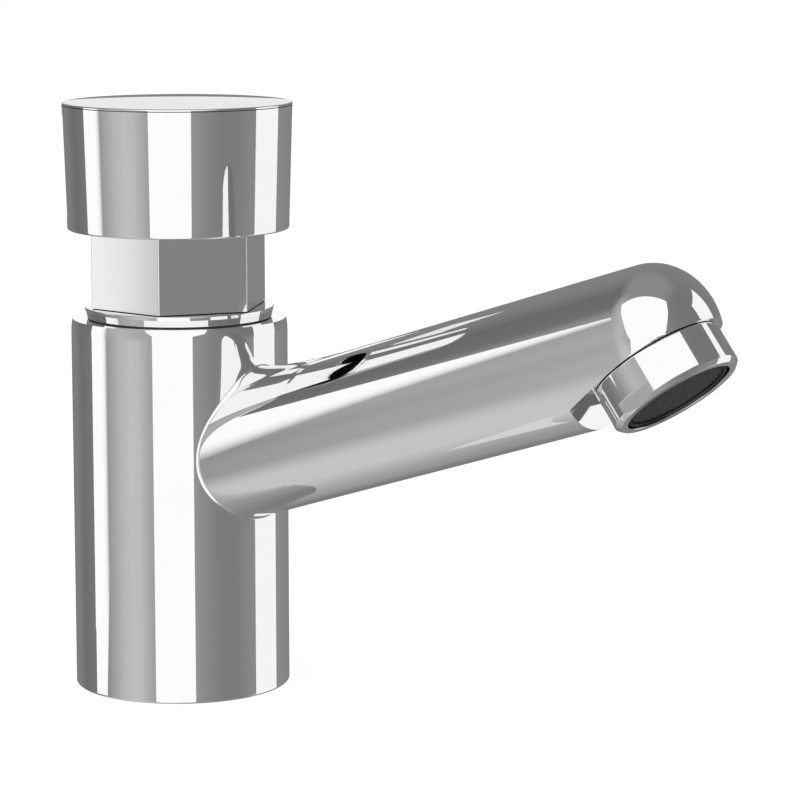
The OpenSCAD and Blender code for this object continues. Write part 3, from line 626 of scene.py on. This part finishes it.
# The solids that stay, each with the finish that the record names
for part in frame["record"]["subparts"]:
    carried = frame["nodes"][part["node"]]
    carried.data.materials.clear()
    carried.data.materials.append(FINISHES[part["material_slot"]])

make_pillar_body()
make_spout()
make_braze_bead()
make_bonnet()
make_aerator_ring()
make_aerator_screen()
make_return_spring()
make_push_button()

# The photograph's camera
CAMERA_AT = Vector((-0.4930, -0.4569, 0.1680))
CAMERA_HEADING = math.radians(-51.1)
CAMERA_DIP = math.radians(9.167)
CAMERA_LENS = 145.92

# Greys of the studio by the turn from the camera, level with the tap
LEVEL_GREYS = {
    -180: 0.20, -142: 0.22, -124: 0.167, -103: 0.20, -81: 0.31, -77: 0.365, -72: 0.405, -63: 0.50,
    -50: 0.575, -41: 0.54, -27: 0.38, 19: 0.31, 36: 0.245, 50: 0.215, 64: 0.22, 84: 0.27, 130: 0.28,
    160: 0.24, 180: 0.20}
# Above the tap
UPPER_GREYS = {
    -180: 0.23, -160: 0.23, -146: 0.205, -128: 0.155, -106: 0.165, -100: 0.19, -95: 0.27, -86: 0.375,
    -78: 0.42, -60: 0.50, -27: 0.38, 19: 0.30, 50: 0.21, 75: 0.188, 95: 0.19, 120: 0.20, 150: 0.22,
    180: 0.23}
# Far below the tap
BELOW_GREYS = {-180: 0.33, -150: 0.48, -115: 0.60, -80: 0.60, 0: 0.36, 90: 0.24, 140: 0.24, 180: 0.33}
# On the left sheet, which fades towards the camera
LEFT_GREYS = {
    -180: 1.07, -86: 1.07, -83: 0.97, -82: 0.91, -81: 0.80, -80.4: 0.70, -79.8: 0.55, -79: 0.42, 180: 0.40}
OVERHEAD_GREY = 0.27

# Sheets at the sides, each between two rails of points: turn, distance and height
SIDE_SHEETS = {
    # The white band on the body's left
    "sheet_left": (
        ((-101.5, 0.5, -0.10), (-101.5, 0.5, 0.28)), ((-79, 0.53, -0.09), (-78.8, 0.53, 0.352))),
    # The lower end of that band
    "sheet_foot": (
        ((-101.8, 1, -0.262), (-101.8, 1, -0.2)), ((-86, 1, -0.262), (-79.1, 1.02, -0.185))),
    # The white band on the body's right
    "sheet_right": (
        ((87.5, 0.52, -0.4), (87.5, 0.52, 0.365)), ((124.3, 2, -0.75), (124.3, 2, 1.41))),
    # The pale streak along the spout's underside
    "card_under": (
        ((-154.3, 0.116, -0.4), (-83, 0.086, -0.4)), ((-156.1, 0.118, -0.4), (172.3, 0.126, -0.4))),
    # The dark ceiling of the notch behind the ring
    "flag_notch": (
        ((71.3, 0.1064, 0.0198), (78.4, 0.1143, 0.0416)), ((65.6, 0.134, 0.0198), (71.7, 0.1403, 0.0416)))}

# Upright sheets close behind the button: distance, ends to the left and right, heights, strength
BACK_SHEETS = {
    "sheet_back": (0.12, (-0.06, 0.0275), (0.085, 0.11), 1.0),
    "sheet_top": (0.05, (-0.034, 0.026), (0.124, 0.142), 0.85)}


# Camera, studio and light

def toward(turn):
    """The level direction at a turn, in degrees, from the way to the camera, positive to its right."""
    angle = CAMERA_HEADING - math.pi / 2 + math.radians(turn)
    return Vector((math.cos(angle), math.sin(angle), 0))


def at(turn, distance, height):
    """The point at a turn from the camera, a distance from the body's axis and a height."""
    return toward(turn) * distance + Vector((0, 0, height))


def glow(name, strength=1.0, grey=None):
    """A glowing material for the studio: white, or a grey from a function that builds nodes in its tree."""
    material = bpy.data.materials.new(name)
    material.use_nodes = True
    tree = material.node_tree
    tree.nodes.clear()
    colour = grey(tree) if grey else (1, 1, 1, 1)
    light = node(tree, "ShaderNodeEmission", {"Color": colour, "Strength": strength})
    node(tree, "ShaderNodeOutputMaterial", {"Surface": light.outputs[0]})
    return material


def stage_piece(name, mesh, material, mirror_only=True):
    """A studio piece; most are seen only in the chrome."""
    data = bpy.data.meshes.new(name)
    mesh.to_mesh(data)
    mesh.free()
    data.shade_smooth()
    data.materials.append(material)
    piece = bpy.data.objects.new(name, data)
    bpy.context.scene.collection.objects.link(piece)
    if mirror_only:
        piece.visible_camera = False
        piece.visible_diffuse = False
        piece.visible_shadow = False
        piece.visible_transmission = False
        piece.visible_volume_scatter = False
    return piece


def make_sheet(name, first, second, material):
    """A sheet stretched between two rails, each a row of points."""
    mesh = bmesh.new()
    rails = []
    for rail in (first, second):
        verts = [mesh.verts.new(point) for point in rail]
        rails += [mesh.edges.new(pair) for pair in zip(verts, verts[1:])]
    bmesh.ops.bridge_loops(mesh, edges=rails)
    stage_piece(name, mesh, material)


def by_turn(tree, greys):
    """A grey that changes with the turn from the camera."""
    spot = node(tree, "ShaderNodeTexCoord")
    turned = node(tree, "ShaderNodeMapping", {
        "Vector": spot.outputs["Object"], "Rotation": (0, 0, math.pi / 2 - CAMERA_HEADING)})
    angle = node(tree, "ShaderNodeTexGradient", {"Vector": turned.outputs[0]}, gradient_type="RADIAL")
    ramp = node(tree, "ShaderNodeValToRGB", {"Fac": angle.outputs[1]})
    stops = ramp.color_ramp.elements
    for turn, grey in greys.items():
        share = turn / 360 + 0.5
        stop = stops[0] if share == 0 else stops[len(stops) - 1] if share == 1 else stops.new(share)
        stop.color = (grey, grey, grey, 1)
    return ramp.outputs[0]


def wall_grey(tree):
    """The studio's grey, which changes with the height of the way as well."""
    spot = node(tree, "ShaderNodeTexCoord")
    way = node(tree, "ShaderNodeVectorMath", {0: spot.outputs["Object"]}, operation="NORMALIZE")
    up = node(tree, "ShaderNodeSeparateXYZ", {0: way.outputs[0]}).outputs[2]
    colour = by_turn(tree, LEVEL_GREYS)
    # Each layer: the upward parts of the way at which it begins and is full, and its grey
    layers = (
        (-0.155, 0.1, by_turn(tree, UPPER_GREYS)),
        (0.75, 0.95, (OVERHEAD_GREY, OVERHEAD_GREY, OVERHEAD_GREY, 1)),
        (-0.5, -0.8, by_turn(tree, BELOW_GREYS)))
    for begin, full, grey in layers:
        share = node(
            tree, "ShaderNodeMapRange", {"Value": up, "From Min": begin, "From Max": full},
            interpolation_type="SMOOTHSTEP")
        mixed = node(tree, "ShaderNodeMix", {0: share.outputs[0], 6: colour, 7: grey}, data_type="RGBA")
        colour = mixed.outputs[2]
    return colour


def left_grey(tree):
    """The left sheet's white, which fades to a grey."""
    return by_turn(tree, LEFT_GREYS)


def make_front_sheet():
    """The white sheet in front: upright below, and bent over the spout's end as a scoop."""
    stand_off, foot, bend = 0.69, -0.7, 0.14
    middle, slant, reach = -15, math.radians(45), 0.5
    sides = {
        -25: ((-0.60, -0.6), (-0.72, -0.2), (-0.84, 0.13), (-0.86, 0.40)),
        17: ((1.0, -0.6), (0.96, -0.2), (0.87, 0.32), (0.74, 0.68))}
    tip = along_spout @ Vector((0, 0, SPOUT_LENGTH))
    facing = at(middle, math.cos(slant), math.sin(slant))
    upward = at(middle, -math.sin(slant), math.cos(slant))
    across = toward(middle + 90)
    rails = []
    for turn, bends in sides.items():
        upright = [at(turn, stand_off, foot), at(turn, stand_off, bend)]
        bent = [tip + (facing + across * aside + upward * rise) * reach for aside, rise in bends]
        rails.append(upright + bent)
    make_sheet("sheet_front", *rails, glow("studio_white", 1.07))


def make_studio():
    """A grey drum round the tap with white sheets, seen in the chrome alone."""
    drum = bmesh.new()
    bmesh.ops.create_uvsphere(drum, u_segments=96, v_segments=48, radius=4.0)
    stage_piece("studio_drum", drum, glow("studio_grey", grey=wall_grey))
    make_front_sheet()
    fading = glow("studio_fading", grey=left_grey)
    coats = {
        "sheet_left": fading, "sheet_foot": fading, "sheet_right": glow("studio_bright"),
        "card_under": glow("studio_soft", 0.7), "flag_notch": glow("studio_dark", 0.14)}
    for name, rails in SIDE_SHEETS.items():
        first, second = ([at(*point) for point in rail] for rail in rails)
        make_sheet(name, first, second, coats[name])
    for name, (distance, ends, heights, strength) in BACK_SHEETS.items():
        first, second = ([at(180, distance, z) + toward(90) * aside for z in heights] for aside in ends)
        make_sheet(name, first, second, glow(name, strength))


def make_floor():
    """A pale floor that keeps a soft shadow."""
    mesh = bmesh.new()
    bmesh.ops.create_grid(mesh, x_segments=1, y_segments=1, size=30)
    material = bpy.data.materials.new("floor_white")
    material.use_nodes = True
    tree = material.node_tree
    tree.nodes.clear()
    paint = node(tree, "ShaderNodeBsdfDiffuse", {"Color": (0.9, 0.9, 0.9, 1)})
    bright = node(tree, "ShaderNodeEmission", {"Color": (1, 1, 1, 1), "Strength": 1.1})
    ray = node(tree, "ShaderNodeLightPath").outputs
    whitening = 0.8
    seen = combine(tree, "MULTIPLY", ray["Is Camera Ray"], whitening)
    node(tree, "ShaderNodeOutputMaterial", {"Surface": blend_shaders(tree, seen, paint, bright)})
    floor = stage_piece("floor", mesh, material, mirror_only=False)
    floor.visible_glossy = False


def make_world():
    """White to the camera and in the metal, and an even soft light on everything else."""
    world = bpy.data.worlds.new("studio_air")
    bpy.context.scene.world = world
    world.use_nodes = True
    tree = world.node_tree
    tree.nodes.clear()
    ray = node(tree, "ShaderNodeLightPath").outputs
    direct = combine(tree, "MAXIMUM", ray["Is Camera Ray"], ray["Is Glossy Ray"])
    clear = combine(tree, "MAXIMUM", direct, ray["Is Transmission Ray"])
    soft = node(tree, "ShaderNodeBackground", {"Color": (1, 1, 1, 1), "Strength": 0.75})
    white = node(tree, "ShaderNodeBackground", {"Color": (1, 1, 1, 1), "Strength": 1.0})
    node(tree, "ShaderNodeOutputWorld", {"Surface": blend_shaders(tree, clear, soft, white)})


def make_lamp():
    """One large soft lamp overhead."""
    light = bpy.data.lights.new("lamp_above", "AREA")
    light.shape = "DISK"
    light.size = 0.9
    light.energy = 6
    lamp = bpy.data.objects.new("lamp_above", light)
    lamp.location = at(turn=-20, distance=0.4, height=0.9)
    lamp.rotation_euler = (-lamp.location).to_track_quat("-Z", "Y").to_euler()
    lamp.visible_glossy = False
    bpy.context.scene.collection.objects.link(lamp)


def make_camera():
    """The photograph's view."""
    data = bpy.data.cameras.new("camera")
    data.lens = CAMERA_LENS
    data.sensor_width = 36
    camera = bpy.data.objects.new("camera", data)
    camera.location = CAMERA_AT
    camera.rotation_euler = (math.pi / 2 - CAMERA_DIP, 0, CAMERA_HEADING)
    bpy.context.scene.collection.objects.link(camera)
    bpy.context.scene.camera = camera


make_camera()
make_studio()
make_floor()
make_world()
make_lamp()
bpy.context.scene.view_settings.view_transform = "Standard"
